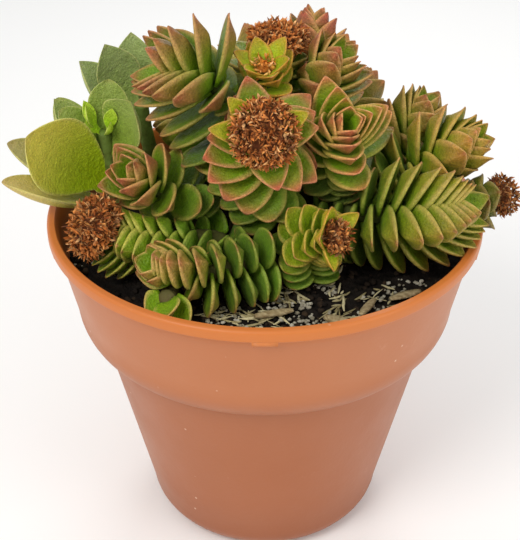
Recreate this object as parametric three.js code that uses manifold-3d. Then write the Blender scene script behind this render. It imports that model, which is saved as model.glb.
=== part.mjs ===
// A plastic pot planted with two succulents: a mound of stacked-leaf shoots, some of them
// ending in a dried flower head, and a broad-leaved one beside it.
// Millimetres, +Z up. The origin is the centre of the pot's underside, and -Y is the front.
import * as THREE from "three";
import { ConvexGeometry } from "three/addons/geometries/ConvexGeometry.js";
import { mergeVertices } from "three/addons/utils/BufferGeometryUtils.js";
import Module from "manifold-3d";

const wasm = await Module();
wasm.setup();

// ---- Driving dimensions -------------------------------------------------------------

// Pot
const potHeight = 87;
const rimRadius = 52.5;
const wall = 1.4;
const lipHeight = 2.8;
const lipOverhang = 1.6;
const collarHeight = 19.2;
const collarTaper = 3.9;
const shoulderHeight = 8;
const shoulderStep = 5.4;
const bodyTaper = 10.8;
const footRadius = 7;
const floorThickness = 2.4;
const recessDepth = 1;
const recessInner = 9;
const recessOuter = 21;
const drainHoles = 8;
const drainRadius = 3;
const rimTabs = 5;
const tabWidth = 5.5;
const tabDrop = 1;
const potSides = 36;

// Potting mix
const soilBelowRim = 10;
const soilCrown = 2;
const fitClearance = 0.3;

// Stems and leaves
const stemRadius = 2;
const rootDepth = 6;
const leafGap = 0.5;
const crowding = 0.7;
const fitShares = [1, 0.82, 0.66];
const shortestLeaf = 4.6;

// ---- Worked out from them -----------------------------------------------------------

const soilLevel = potHeight - soilBelowRim;
const collarTop = potHeight - lipHeight;
const collarBottom = collarTop - collarHeight;
const bodyTop = collarBottom - shoulderHeight;
const collarRadius = rimRadius - lipOverhang;
const shoulderRadius = collarRadius - collarTaper;
const bodyRadius = shoulderRadius - shoulderStep;
const heelRadius = bodyRadius - bodyTaper;
const collarSlope = collarTaper / collarHeight;
const soilRadius = collarRadius - wall - fitClearance - collarSlope * (collarTop - soilLevel);

const colours = {
  terracotta: 0xb9714a,
  soil: 0x1c1611,
  stem: 0x5d5a2c,
  redLeaf: 0x7d6a3a,
  greenLeaf: 0x5c7d2e,
  limeLeaf: 0x93a83a,
  broadLeaf: 0x86a04c,
  driedFlower: 0x7a3f20,
  bark: 0x8d7b5a,
};

// ---- Helpers ------------------------------------------------------------------------

const point = (x, y, z) => new THREE.Vector3(x, y, z);
const lerp = THREE.MathUtils.lerp;
const radians = THREE.MathUtils.degToRad;
const rise = (x, from, to) => THREE.MathUtils.smoothstep(x, from, to);

// A geometry as a manifold solid, with its shared corners merged.
function solidOf(geometry) {
  const bare = geometry.index ? geometry.toNonIndexed() : geometry.clone();
  bare.deleteAttribute("normal");
  bare.deleteAttribute("uv");
  const merged = mergeVertices(bare, 1e-4);
  const mesh = new wasm.Mesh({
    numProp: 3,
    vertProperties: merged.attributes.position.array,
    triVerts: new Uint32Array(merged.index.array),
  });
  return new wasm.Manifold(mesh);
}

// A manifold solid as a geometry. Where a cut left crumbs, only the largest body stays.
function geometryOf(solid) {
  const bodies = solid.decompose().sort((a, b) => b.volume() - a.volume());
  const mesh = bodies[0].getMesh();
  const geometry = new THREE.BufferGeometry();
  geometry.setAttribute("position", new THREE.BufferAttribute(mesh.vertProperties, 3));
  geometry.setIndex(new THREE.BufferAttribute(mesh.triVerts, 1));
  geometry.computeVertexNormals();
  return geometry;
}

function named(name, geometry, colour, roughness) {
  const material = new THREE.MeshStandardMaterial({ color: colour, roughness, metalness: 0 });
  const mesh = new THREE.Mesh(geometry, material);
  mesh.name = name;
  return mesh;
}

// A profile of [radius, height] pairs turned round the vertical axis.
function turned(profile, segments) {
  const outline = profile.map(([r, z]) => new THREE.Vector2(r, z));
  return new THREE.LatheGeometry(outline, segments).rotateX(Math.PI / 2);
}

// A profile moved inwards by a distance, square to its own line.
function inset(profile, distance) {
  return profile.map(([r, z], i) => {
    const [r0, z0] = profile[Math.max(i - 1, 0)];
    const [r1, z1] = profile[Math.min(i + 1, profile.length - 1)];
    const length = Math.hypot(r1 - r0, z1 - z0);
    return [r - (distance * (z1 - z0)) / length, z + (distance * (r1 - r0)) / length];
  });
}

function tube(path, radius, steps, sides) {
  const section = new THREE.Shape();
  for (let i = 0; i < sides; i++) {
    const angle = (2 * Math.PI * i) / sides;
    section[i ? "lineTo" : "moveTo"](radius * Math.cos(angle), radius * Math.sin(angle));
  }
  return new THREE.ExtrudeGeometry(section, { steps, extrudePath: path, bevelEnabled: false });
}

// ---- Pot ----------------------------------------------------------------------------

// The outer wall from the foot's flat edge up to the underside of the lip.
function outerWall() {
  const wallLine = [];
  for (let i = 0; i <= 3; i++) {
    const angle = (i / 3) * (Math.PI / 2);
    wallLine.push([
      heelRadius - footRadius * (1 - Math.sin(angle)),
      footRadius * (1 - Math.cos(angle)),
    ]);
  }
  wallLine.push([bodyRadius, bodyTop]);
  for (let i = 1; i <= 3; i++) {
    const angle = (i / 3) * (Math.PI / 2);
    wallLine.push([
      bodyRadius + shoulderStep * Math.sin(angle),
      bodyTop + shoulderHeight * (1 - Math.cos(angle)),
    ]);
  }
  wallLine.push([collarRadius, collarTop]);
  return wallLine;
}

function innerWall() {
  const line = inset(outerWall(), wall).filter(([, z]) => z > floorThickness);
  const [lastRadius] = line[line.length - 1];
  line.push([lastRadius + (lipOverhang * wall) / lipHeight, potHeight]);
  return line;
}

function pot() {
  const inside = innerWall();
  const underside = [
    [0, 0],
    [recessInner, 0],
    [recessInner + recessDepth, recessDepth],
    [recessOuter, recessDepth],
    [recessOuter + recessDepth, 0],
  ];
  const lip = [
    [rimRadius, collarTop],
    [rimRadius, potHeight - lipHeight / 4],
    [rimRadius - lipHeight / 4, potHeight],
  ];
  const floorEdge = [inside[0][0], floorThickness];
  const profile = [
    ...underside,
    ...outerWall(),
    ...lip,
    ...inside.reverse(),
    floorEdge,
    [0, floorThickness],
  ];
  let solid = solidOf(turned(profile, potSides));
  const holeCircle = (recessInner + recessOuter + recessDepth) / 2;
  for (let i = 0; i < drainHoles; i++) {
    const angle = (2 * Math.PI * (i + 0.5)) / drainHoles;
    const drill = new THREE.CylinderGeometry(drainRadius, drainRadius, 3 * floorThickness, 12)
      .rotateX(Math.PI / 2)
      .translate(holeCircle * Math.cos(angle), holeCircle * Math.sin(angle), floorThickness);
    solid = solid.subtract(solidOf(drill));
  }
  for (let i = 0; i < rimTabs; i++) {
    const depth = 2 * lipOverhang;
    const tab = new THREE.BoxGeometry(depth, tabWidth, lipHeight + tabDrop)
      .translate(rimRadius - depth / 2, 0, potHeight - lipHeight / 2 - tabDrop)
      .rotateZ((2 * Math.PI * i) / rimTabs - Math.PI / 2);
    solid = solid.add(solidOf(tab));
  }
  return geometryOf(solid);
}

// ---- Shoots of stacked leaves -------------------------------------------------------

// Places are millimetres across from the pot's axis and up from its rim, for a rim of
// drawnRimRadius. They spread with the rim.
// root: where the stem leaves the soil. tip and aim: where it ends and which way it looks.
// leafy: length of stem that holds leaves. leaf: [length, width, thickness] of a grown one.
// twist: how far each pair turns past square, in degrees. phase: where the first pair is.
// spread: a leaf's angle from the stem at the tip and where it is grown.
// head: [radius, height] of the dried flower head at the tip.
const shoots = [
  { name: "front", root: [0.5, -8.5], tip: [-0.6, -19.4, 28.6], aim: [0.1, -0.82, 0.55],
    leafy: 28, leaf: [15.7, 9.5, 2.6], twist: 9, phase: -16, spread: [60, 106], head: [8.2, 7.5] },
  { name: "upper_left", tone: "redLeaf", root: [-6.8, -3.4], tip: [-18.8, -4.6, 36.5], aim: [-0.95, -0.16, 0.28],
    leafy: 26, leaf: [17.6, 9, 2.6], twist: 4, phase: -41, spread: [24, 100] },
  { name: "upper_right", root: [20, -4], tip: [16.5, -10.7, 24.8], aim: [0.21, -0.71, 0.67],
    leafy: 26, leaf: [16, 9, 2.6], twist: 2, phase: -10, spread: [6, 101] },
  { name: "crown", tone: "limeLeaf", root: [-1, 5], tip: [-0.3, -1, 35.5], aim: [-0.05, -0.4, 0.9],
    leafy: 14, leaf: [9.5, 6, 2], twist: 6, phase: 30, spread: [34, 88], head: [2.6, 2.6] },
  { name: "crown_back", root: [4, 13], tip: [3, 12, 35], aim: [0.05, 0.1, 0.99],
    leafy: 18, leaf: [12.5, 9, 2.6], twist: 6, phase: 0, spread: [62, 95], head: [7.8, 6.5] },
  { name: "back_right", tone: "redLeaf", root: [11, 21], tip: [11, 24, 32.5], aim: [0.15, 0.45, 0.88],
    leafy: 26, leaf: [13, 9, 2.6], twist: 7, phase: 45, spread: [10, 95] },
  { name: "right_high", tone: "redLeaf", root: [11, 7], tip: [13.5, 6, 31.7], aim: [0.6, -0.2, 0.78],
    leafy: 24, leaf: [15.5, 9.5, 2.8], twist: 7, phase: 60, spread: [12, 95] },
  { name: "right_front", root: [8.5, -7], tip: [40.5, -18.9, 9.1], aim: [0.86, -0.28, 0.42],
    leafy: 34, leaf: [15.4, 9.5, 2.8], twist: 0, phase: 175, spread: [24, 84] },
  { name: "right_top", root: [21, 1], tip: [44, -2, 15.8], aim: [0.72, -0.25, 0.64],
    leafy: 26, leaf: [15, 9.5, 2.8], twist: 7, phase: 30, spread: [10, 95] },
  { name: "right_back", root: [19, 14], tip: [37, 15, 14], aim: [0.3, 0, 0.95],
    leafy: 22, leaf: [15, 9.5, 2.8], twist: 7, phase: 45, spread: [10, 95] },
  { name: "far_right", root: [25, -6], tip: [52.5, -8, 6.5], aim: [0.95, 0, 0.3],
    leafy: 22, leaf: [12, 8.5, 2.6], twist: 6, phase: 45, spread: [60, 92], head: [4.8, 6.5] },
  { name: "left_small", tone: "redLeaf", root: [-15, -5], tip: [-28, -14, 14.5], aim: [-0.5, -0.5, 0.7],
    leafy: 18, leaf: [13, 8.5, 2.4], twist: 8, phase: 20, spread: [10, 92] },
  { name: "left_low", root: [-8, -13], tip: [-35.2, -19.5, 3.7], aim: [-0.8, -0.2, 0.56],
    leafy: 30, leaf: [11.5, 8, 2.2], twist: -2, phase: 117, spread: [60, 58], head: [8.2, 9.6] },
  { name: "front_left", tone: "redLeaf", root: [3, -20.5], tip: [-22, -32, 2.3], aim: [-0.67, -0.25, 0.7],
    leafy: 26, leaf: [10.5, 9, 2.4], twist: 1.2, phase: 43, spread: [22, 92] },
  { name: "front_low", tone: "redLeaf", root: [-21, -27], tip: [-21.6, -36, -2.7], aim: [-0.1, -0.75, 0.62],
    leafy: 9, leaf: [10, 7.5, 2.2], twist: 8, phase: 20, spread: [12, 85] },
  { name: "front_small", root: [9, -20], tip: [13.8, -29, 9], aim: [0.75, -0.6, 0.3],
    leafy: 20, leaf: [8.5, 7, 2.2], twist: 3, phase: 0, spread: [60, 92], head: [4, 5] },
  { name: "back", root: [0, 23], tip: [-2, 34, 23], aim: [-0.05, 0.75, 0.66],
    leafy: 26, leaf: [15, 9.5, 2.8], twist: 7, phase: 30, spread: [10, 95] },
  { name: "back_low_left", root: [-12, 20], tip: [-19, 38, 9], aim: [-0.4, 0.85, 0.35],
    leafy: 24, leaf: [13, 9.5, 2.8], twist: 6, phase: 45, spread: [60, 94], head: [5.5, 6] },
  { name: "back_low_right", root: [14, 27], tip: [23, 38, 11], aim: [0.45, 0.78, 0.43],
    leafy: 26, leaf: [14, 9.5, 2.8], twist: 7, phase: 10, spread: [10, 95] },
];
const drawnRimRadius = 52.5;
const youngShare = 0.7;
const youngPitch = 0.65;
const grownPitch = 1.7;
const headSeat = fitClearance;

const spread = rimRadius / drawnRimRadius;
const placed = ([x, y, z]) => point(x * spread, y * spread, potHeight + z * spread);
const rootPlace = ([x, y]) => point(x * spread, y * spread, soilLevel + soilCrown);

// The stem's line above the soil: straight up from its root, and round to look along aim.
function stemCurve(shoot) {
  const start = rootPlace(shoot.root);
  const tip = placed(shoot.tip);
  const reach = tip.distanceTo(start) * 0.45;
  return new THREE.CubicBezierCurve3(
    start,
    start.clone().add(point(0, 0, reach)),
    tip.clone().addScaledVector(shoot.look, -reach),
    tip,
  );
}

for (const shoot of shoots) {
  shoot.look = point(...shoot.aim).normalize();
  shoot.curve = stemCurve(shoot);
  shoot.line = shoot.curve.getSpacedPoints(60);
  shoot.span = shoot.curve.getLength();
}

// Leaf places from the tip down: where each starts, which way it points, its face and size.
function leafPlaces(shoot) {
  const places = [];
  const last = Math.min(shoot.leafy, shoot.span - 1.5);
  let side = new THREE.Vector3().crossVectors(shoot.look, point(0, 0, 1)).normalize();
  let back = shoot.head ? 1.8 : 0.4;
  for (let pair = 0; back < last; pair++) {
    const u = 1 - back / shoot.span;
    const centre = shoot.curve.getPointAt(u);
    const along = shoot.curve.getTangentAt(u);
    side = side.clone().addScaledVector(along, -side.dot(along)).normalize();
    const across = new THREE.Vector3().crossVectors(along, side);
    const age = back / shoot.leafy;
    const grown = lerp(youngShare, 1, rise(age, 0, 0.25));
    const tilt = radians(lerp(shoot.spread[0], shoot.spread[1], rise(age, -0.15, 0.7)));
    for (const half of [0, 180]) {
      const turn = radians(shoot.phase + half + pair * (90 + shoot.twist));
      const out = side.clone().multiplyScalar(Math.cos(turn));
      out.addScaledVector(across, Math.sin(turn));
      const length = out.clone().multiplyScalar(Math.sin(tilt));
      length.addScaledVector(along, Math.cos(tilt));
      const width = new THREE.Vector3().crossVectors(along, out);
      const face = new THREE.Vector3().crossVectors(length, width);
      places.push({ centre, length, width, face, size: shoot.leaf.map((d) => d * grown) });
    }
    back += lerp(youngPitch, grownPitch, rise(age, 0, 0.5));
  }
  return places;
}

// Distance from a point to a shoot's stem, and how far that stem's own leaves reach there.
function stemDistance(shoot, p) {
  let best = Infinity;
  let nearest = 0;
  shoot.line.forEach((q, i) => {
    const d = p.distanceTo(q);
    if (d < best) [best, nearest] = [d, i];
  });
  const back = shoot.span * (1 - nearest / (shoot.line.length - 1));
  return [best, back < shoot.leafy ? shoot.leaf[0] : stemRadius];
}

function insideHead(shoot, p) {
  if (!shoot.head) return false;
  const [radius, height] = shoot.head;
  const away = p.clone().sub(placed(shoot.tip));
  const axial = away.dot(shoot.look);
  const radial = away.addScaledVector(shoot.look, -axial).length();
  return axial > 0 && axial < height + leafGap && radial < radius + leafGap;
}

// True where the tip of a leaf of one shoot may be: not much nearer to another stem than to
// its own, above the soil and clear of the pot's wall and of every flower head.
function isFree(own, p, distance) {
  const fromAxis = Math.hypot(p.x, p.y);
  if (p.z < soilLevel + soilCrown + leafGap) return false;
  if (p.z < potHeight + leafGap && fromAxis > collarRadius - wall - leafGap) return false;
  return shoots.every((other) => {
    if (insideHead(other, p)) return false;
    if (other === own) return true;
    const [d, leafReach] = stemDistance(other, p);
    return d >= crowding * Math.min(distance, leafReach) + leafGap;
  });
}

// A leaf's length after it is stopped by whatever it meets.
function grownLength(shoot, place) {
  const step = 0.5;
  let length = stemRadius + step;
  while (length < place.size[0]) {
    const p = place.centre.clone().addScaledVector(place.length, length);
    if (!isFree(shoot, p, length)) break;
    length += step;
  }
  return Math.min(length, place.size[0]);
}

// A leaf: flat above, keeled below, widest past the middle, with a pointed tip.
function leafGeometry(place, length, spare) {
  const [, width, thickness] = place.size;
  const at = (along, across, below) =>
    place.centre
      .clone()
      .addScaledVector(place.length, along)
      .addScaledVector(place.width, across)
      .addScaledVector(place.face, -below);
  const half = width / 2 + spare;
  const keel = thickness + spare;
  return new ConvexGeometry([
    at(stemRadius * 0.5, 0, keel * 0.3),
    at(length * 0.55, -half, -spare),
    at(length * 0.55, half, -spare),
    at(length * 0.8, 0, keel),
    at(length + spare, 0, -spare),
  ]);
}

function stemSolid(shoot, radius) {
  const stem = solidOf(tube(shoot.curve, radius, 6, 5));
  return stem.add(solidOf(rootGeometry(shoot.root, radius)));
}

// The straight stretch of stem in the soil.
function rootGeometry(root, radius) {
  const { x, y, z } = rootPlace(root);
  const length = rootDepth + soilCrown + 0.2;
  return new THREE.CylinderGeometry(radius, radius, length, 6)
    .rotateX(Math.PI / 2)
    .translate(x, y, z + 0.1 - length / 2);
}

// Every shoot's solid. A leaf that would touch another shoot is shortened or left out.
function shootSolids(blocked) {
  const taken = [...blocked];
  const finished = new Map();
  for (const shoot of shoots) {
    taken.push({ owner: shoot, solid: stemSolid(shoot, stemRadius) });
  }
  for (const shoot of shoots) {
    const own = [stemSolid(shoot, stemRadius)];
    for (const place of leafPlaces(shoot)) {
      const full = grownLength(shoot, place);
      const length = fitShares
        .map((share) => share * full)
        .filter((l) => l > shortestLeaf)
        .find((l) => clear(solidOf(leafGeometry(place, l, fitClearance)), shoot, taken));
      if (length) own.push(solidOf(leafGeometry(place, length, 0)));
    }
    const solid = wasm.Manifold.union(own);
    finished.set(shoot.name, solid);
    taken.push({ owner: shoot, solid });
  }
  return finished;
}

function boxesMeet(a, b) {
  return [0, 1, 2].every((i) => a.min[i] < b.max[i] && b.min[i] < a.max[i]);
}

function clear(solid, owner, taken) {
  const box = solid.boundingBox();
  return taken.every((other) => {
    if (other.owner === owner || !boxesMeet(box, other.solid.boundingBox())) return true;
    return solid.intersect(other.solid).volume() < 1e-3;
  });
}

// ---- Dried flower heads -------------------------------------------------------------

function headGeometry(shoot) {
  const [radius, height] = shoot.head;
  const profile = [
    [0, 0],
    [radius * 0.75, 0.1 * height],
    [radius, 0.42 * height],
    [radius * 0.85, 0.76 * height],
    [radius * 0.45, 0.95 * height],
    [0, height],
  ];
  return turned(profile, 10)
    .applyQuaternion(new THREE.Quaternion().setFromUnitVectors(point(0, 0, 1), shoot.look))
    .translate(...placed(shoot.tip).addScaledVector(shoot.look, headSeat).toArray());
}

// ---- Broad-leaved rosettes ----------------------------------------------------------

// Each leaf: its stem and the height where it leaves it, its tip, the way its upper face
// looks, its width and thickness, and how far its middle bows away from the face.
const broadStems = [
  { name: "broad_stem_left", root: [-35.5, 4], tip: [-38.5, 5, 17.5] },
  { name: "broad_stem_back", root: [-29, 26], tip: [-31.5, 25.5, 15] },
];
const broadLeaves = [
  { name: "broad_leaf_1", stem: "broad_stem_left", from: 4.5, tip: [-53.5, -11.5, 24],
    face: [0.3, -0.85, 0.4], width: 18.5, thickness: 4, bow: 2.6 },
  { name: "broad_leaf_2", stem: "broad_stem_left", from: -1.5, tip: [-61, -9, 11],
    face: [0.3, 0.1, 0.95], width: 12, thickness: 3.4, bow: 1.2 },
  { name: "broad_leaf_3", stem: "broad_stem_left", from: 4.5, tip: [-62, 5, 14],
    face: [0.35, -0.3, 0.88], width: 11, thickness: 3.6, bow: 2 },
  { name: "broad_leaf_4", stem: "broad_stem_left", from: 10.5, tip: [-51, 12, 22.5],
    face: [0.6, -0.3, 0.75], width: 9, thickness: 3, bow: 1.5 },
  { name: "broad_leaf_5", stem: "broad_stem_left", from: 14, tip: [-48.5, 4, 23.2],
    face: [0.5, -0.6, 0.65], width: 7.5, thickness: 2.6, bow: 1 },
  { name: "broad_leaf_6", stem: "broad_stem_left", from: 14.5, tip: [-37, 10, 28.5],
    face: [0, -0.95, 0.25], width: 8.5, thickness: 2.8, bow: 1.4 },
  { name: "broad_leaf_7", stem: "broad_stem_left", from: 12, tip: [-31, 0, 27.5],
    face: [-0.5, -0.75, 0.35], width: 11.5, thickness: 3.2, bow: 1.8 },
  { name: "broad_leaf_8", stem: "broad_stem_left", from: 6.5, tip: [-51.5, 19, 19.5],
    face: [0.5, -0.5, 0.7], width: 11, thickness: 3.2, bow: 1.8 },
  { name: "broad_leaf_9", stem: "broad_stem_left", from: 17.9, tip: [-42, 3, 25],
    face: [0.4, -0.3, 0.85], width: 3.6, thickness: 1.6, bow: 0.6 },
  { name: "broad_leaf_10", stem: "broad_stem_left", from: 17.2, tip: [-43, 6.6, 24.6],
    face: [0.4, -0.5, 0.8], width: 3.6, thickness: 1.6, bow: 0.6 },
  { name: "back_leaf_1", stem: "broad_stem_back", from: 11, tip: [-46, 23, 27.5],
    face: [0.7, -0.4, 0.6], width: 11, thickness: 3.2, bow: 1.8 },
  { name: "back_leaf_2", stem: "broad_stem_back", from: 13, tip: [-39, 20.5, 33],
    face: [0.3, -0.85, 0.3], width: 11.5, thickness: 3.2, bow: 1.8 },
  { name: "back_leaf_3", stem: "broad_stem_back", from: 14, tip: [-33.5, 29.5, 32.5],
    face: [0.1, -0.95, 0.2], width: 10.5, thickness: 3.2, bow: 1.8 },
  { name: "back_leaf_4", stem: "broad_stem_back", from: 8, tip: [-42, 40, 21],
    face: [0.45, -0.5, 0.75], width: 11, thickness: 3.2, bow: 1.8 },
];
const broadStemRadius = 1.9;

// Where a leaf starts: beside its stem, on the side of its tip.
function broadLeafBase(leaf) {
  const stem = broadStems.find(({ name }) => name === leaf.stem);
  const [low, high] = [rootPlace(stem.root), placed(stem.tip)];
  const share = (potHeight + leaf.from * spread - low.z) / (high.z - low.z);
  const base = broadStemCurve(stem).getPoint(share);
  const away = placed(leaf.tip).sub(base).setZ(0).normalize();
  return base.addScaledVector(away, broadStemRadius + fitClearance);
}

function broadLeafGeometry(leaf) {
  const base = broadLeafBase(leaf);
  const spine = placed(leaf.tip).sub(base);
  const width = leaf.width * spread;
  const thickness = leaf.thickness * spread;
  const length = spine.length();
  const along = spine.normalize();
  const face = point(...leaf.face);
  face.addScaledVector(along, -face.dot(along)).normalize();
  const across = new THREE.Vector3().crossVectors(face, along);
  const geometry = new THREE.SphereGeometry(1, 10, 6);
  const position = geometry.attributes.position;
  for (let i = 0; i < position.count; i++) {
    const p = point(0, 0, 0).fromBufferAttribute(position, i);
    const share = (1 - p.y) / 2;
    const outline = Math.sin(Math.PI * share ** 1.25) ** 0.62;
    const ring = Math.hypot(p.x, p.z) || 1;
    const sideways = (p.x / ring) * outline * (width / 2);
    const cup = 0.16 * width * (p.x / ring) ** 2 * outline;
    const belly = (p.z / ring) * outline * (thickness / 2);
    const bowed = cup - leaf.bow * spread * Math.sin(Math.PI * share) + belly;
    const place = base
      .clone()
      .addScaledVector(along, share * length)
      .addScaledVector(across, sideways)
      .addScaledVector(face, bowed);
    position.setXYZ(i, place.x, place.y, place.z);
  }
  return geometry;
}

function broadStemCurve(stem) {
  const start = rootPlace(stem.root);
  const tip = placed(stem.tip);
  const third = (tip.z - start.z) / 3;
  const above = start.clone().add(point(0, 0, third));
  const below = tip.clone().sub(point(0, 0, third));
  return new THREE.CubicBezierCurve3(start, above, below, tip);
}

function broadStemSolid(stem) {
  const stalk = solidOf(tube(broadStemCurve(stem), broadStemRadius, 6, 8));
  return stalk.add(solidOf(rootGeometry(stem.root, broadStemRadius)));
}

// A leaf cut back so that it clears the stems by the fit clearance.
function broadLeafSolid(leaf) {
  const radius = broadStemRadius + fitClearance;
  const spaces = broadStems.flatMap((stem) => [
    solidOf(tube(broadStemCurve(stem), radius, 6, 8)),
    solidOf(new THREE.SphereGeometry(radius * 1.1, 8, 6).translate(...placed(stem.tip).toArray())),
  ]);
  return solidOf(broadLeafGeometry(leaf)).subtract(wasm.Manifold.union(spaces));
}

// ---- Potting mix and what lies on it ------------------------------------------------

function soil() {
  const edge = inset(innerWall(), fitClearance).filter(([, z]) => z < soilLevel - 1);
  edge[0][1] = floorThickness + fitClearance;
  const profile = [
    [0, floorThickness + fitClearance],
    ...edge,
    [soilRadius, soilSurface(soilRadius)],
    [soilRadius / 2, soilSurface(soilRadius / 2)],
    [0, soilSurface(0)],
  ];
  let solid = solidOf(turned(profile, potSides));
  for (const { root } of shoots) {
    solid = solid.subtract(solidOf(boreGeometry(root, stemRadius)));
  }
  for (const { root } of broadStems) {
    solid = solid.subtract(solidOf(boreGeometry(root, broadStemRadius)));
  }
  return geometryOf(solid);
}

// The hole that a stem stands in, open at the top.
function boreGeometry(root, stem) {
  const { x, y, z } = rootPlace(root);
  const depth = rootDepth + soilCrown + fitClearance;
  const length = depth + 4;
  const radius = stem + fitClearance * 1.2;
  return new THREE.CylinderGeometry(radius, radius, length, 6)
    .rotateX(Math.PI / 2)
    .translate(x, y, z - depth + length / 2);
}

// The height of the mix at a distance from the axis: a low cone between two rings.
function soilSurface(fromAxis) {
  const share = Math.max(0, fromAxis) / soilRadius;
  const [inner, outer] = [soilCrown * 0.75, 0];
  return soilLevel + (share < 0.5
    ? lerp(soilCrown, inner, share * 2)
    : lerp(inner, outer, share * 2 - 1));
}

const chips = [
  { at: [2, -34], turn: 15, size: [9, 2.4, 1.2] },
  { at: [16, -36], turn: -20, size: [6, 2.8, 1.4] },
  { at: [23, -31], turn: 60, size: [7, 2, 1.2] },
  { at: [32, -26], turn: 25, size: [8, 2.2, 1.2] },
  { at: [9, -40], turn: 5, size: [5, 3, 1.6] },
];

function chipGeometry({ at, turn, size }) {
  const [length, width, height] = size;
  const { x, y } = rootPlace(at);
  const corners = [];
  for (const x of [-length / 2, length / 2]) {
    corners.push(point(x, -width / 3, 0), point(x, width / 3, 0), point(x * 0.9, 0, height));
  }
  corners.push(point(0, -width / 2, height / 3), point(0, width / 2, height / 3));
  return new ConvexGeometry(corners)
    .rotateZ(radians(turn))
    .translate(x, y, soilSurface(Math.hypot(x, y) - length / 2) + fitClearance);
}

// ---- Assembly -----------------------------------------------------------------------

const plant = new THREE.Group();
plant.add(named("pot", pot(), colours.terracotta, 0.45));
plant.add(named("soil", soil(), colours.soil, 1));
chips.forEach((chip, i) => {
  plant.add(named("bark_chip_" + (i + 1), chipGeometry(chip), colours.bark, 0.9));
});

// What the leaves of a shoot have to keep clear of.
const blocked = plant.children.map((mesh) => ({ owner: null, solid: solidOf(mesh.geometry) }));
for (const stem of broadStems) {
  const solid = broadStemSolid(stem);
  blocked.push({ owner: stem, solid });
  plant.add(named(stem.name, geometryOf(solid), colours.stem, 0.7));
}
for (const leaf of broadLeaves) {
  const solid = broadLeafSolid(leaf);
  blocked.push({ owner: leaf, solid });
  plant.add(named(leaf.name, geometryOf(solid), colours.broadLeaf, 0.45));
}
for (const shoot of shoots.filter((s) => s.head)) {
  const geometry = headGeometry(shoot);
  blocked.push({ owner: null, solid: solidOf(geometry) });
  plant.add(named("flower_head_" + shoot.name, geometry, colours.driedFlower, 0.95));
}
const tones = new Map(shoots.map(({ name, tone }) => [name, tone]));
for (const [name, solid] of shootSolids(blocked)) {
  plant.add(named("shoot_" + name, geometryOf(solid), colours[tones.get(name)] ?? colours.greenLeaf, 0.45));
}

export default plant;
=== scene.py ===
"""A plastic pot planted with two succulents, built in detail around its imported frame.

The shoots' stems and leaves are worked out from the same few numbers as the frame's, and each
leaf is then measured against its frame node, so it is as long as the solid there.
"""

import math

import bpy
import numpy as np
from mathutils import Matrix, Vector
from mathutils.bvhtree import BVHTree


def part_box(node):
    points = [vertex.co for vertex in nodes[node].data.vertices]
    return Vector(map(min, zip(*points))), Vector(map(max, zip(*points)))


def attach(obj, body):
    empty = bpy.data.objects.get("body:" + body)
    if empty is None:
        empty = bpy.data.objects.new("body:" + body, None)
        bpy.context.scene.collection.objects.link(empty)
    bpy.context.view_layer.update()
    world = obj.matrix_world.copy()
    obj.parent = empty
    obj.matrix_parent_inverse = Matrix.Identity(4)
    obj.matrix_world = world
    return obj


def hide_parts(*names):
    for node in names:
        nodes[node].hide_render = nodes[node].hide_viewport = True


MM = 0.001
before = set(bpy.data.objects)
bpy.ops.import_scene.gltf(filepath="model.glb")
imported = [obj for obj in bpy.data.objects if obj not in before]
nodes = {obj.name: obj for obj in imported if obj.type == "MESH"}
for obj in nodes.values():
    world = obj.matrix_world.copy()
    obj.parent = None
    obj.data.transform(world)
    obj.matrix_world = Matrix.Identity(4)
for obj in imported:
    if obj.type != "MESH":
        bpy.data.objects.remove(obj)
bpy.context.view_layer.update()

# ---- Sizes, in millimetres, taken from the frame or matching it ----

POT_CORNER = np.array(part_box("pot")[1]) / MM
POT_HEIGHT = POT_CORNER[2]
RIM_RADIUS = POT_CORNER[0]
SOIL_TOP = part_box("soil")[1].z / MM
WALL = 1.4
LIP_HEIGHT = 2.8
LIP_OVERHANG = 1.6
COLLAR_HEIGHT = 19.2
COLLAR_TAPER = 3.9
SHOULDER_HEIGHT = 8
SHOULDER_STEP = 5.4
BODY_TAPER = 10.8
FOOT_RADIUS = 7
FLOOR = 2.4
RECESS_DEPTH = 1
RECESS_INNER = 9
RECESS_OUTER = 21
DRAIN_HOLES = 8
DRAIN_RADIUS = 3
DRILL_REACH = 2
DRILL_SIDES = 32
POT_SEGMENTS = 240
RIM_TABS = 5
TAB_WIDTH = 5.5
TAB_DROP = 1
FLASH_STRIPS = 14
SOIL_CROWN = 2
SOIL_GAP = 0.1
SKIRT_DEPTH = 12
WALL_CLEARANCE = 0.3
CRUMBS = 900
GRIT_CLUSTERS = 60
STEM_RADIUS = 2
BROAD_STEM_RADIUS = 1.9
STEM_BEND = 0.45
ROOT_DEPTH = 6
YOUNG_SHARE = 0.7
YOUNG_PITCH = 0.65
GROWN_PITCH = 1.7
FIRST_PAIR = 0.4
FIRST_PAIR_BELOW_HEAD = 1.8
SHORTEST_LEAF = 4.4
BRACT_WIDTH = 5.5
BRACT_THICKNESS = 1.6
SOIL_LEVEL = SOIL_TOP - SOIL_CROWN
COLLAR_TOP = POT_HEIGHT - LIP_HEIGHT
COLLAR_RADIUS = RIM_RADIUS - LIP_OVERHANG
SOIL_RADIUS = COLLAR_RADIUS - WALL - SOIL_GAP - COLLAR_TAPER / COLLAR_HEIGHT * (COLLAR_TOP - SOIL_LEVEL)

# ---- Helpers ----


def unit(v):
    v = np.asarray(v, float)
    return v / np.linalg.norm(v)


def frame_of(direction):
    """Two directions square to one direction and to each other."""
    side = unit(np.cross(direction, (0.31, 0.17, 0.94)))
    return side, np.cross(direction, side)


def smooth(x, low, high):
    """0 up to low and 1 from high on, with a soft rise between."""
    t = np.clip((x - low) / (high - low), 0, 1)
    return t * t * (3 - 2 * t)


def lerp(a, b, t):
    return a + (b - a) * t


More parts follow.
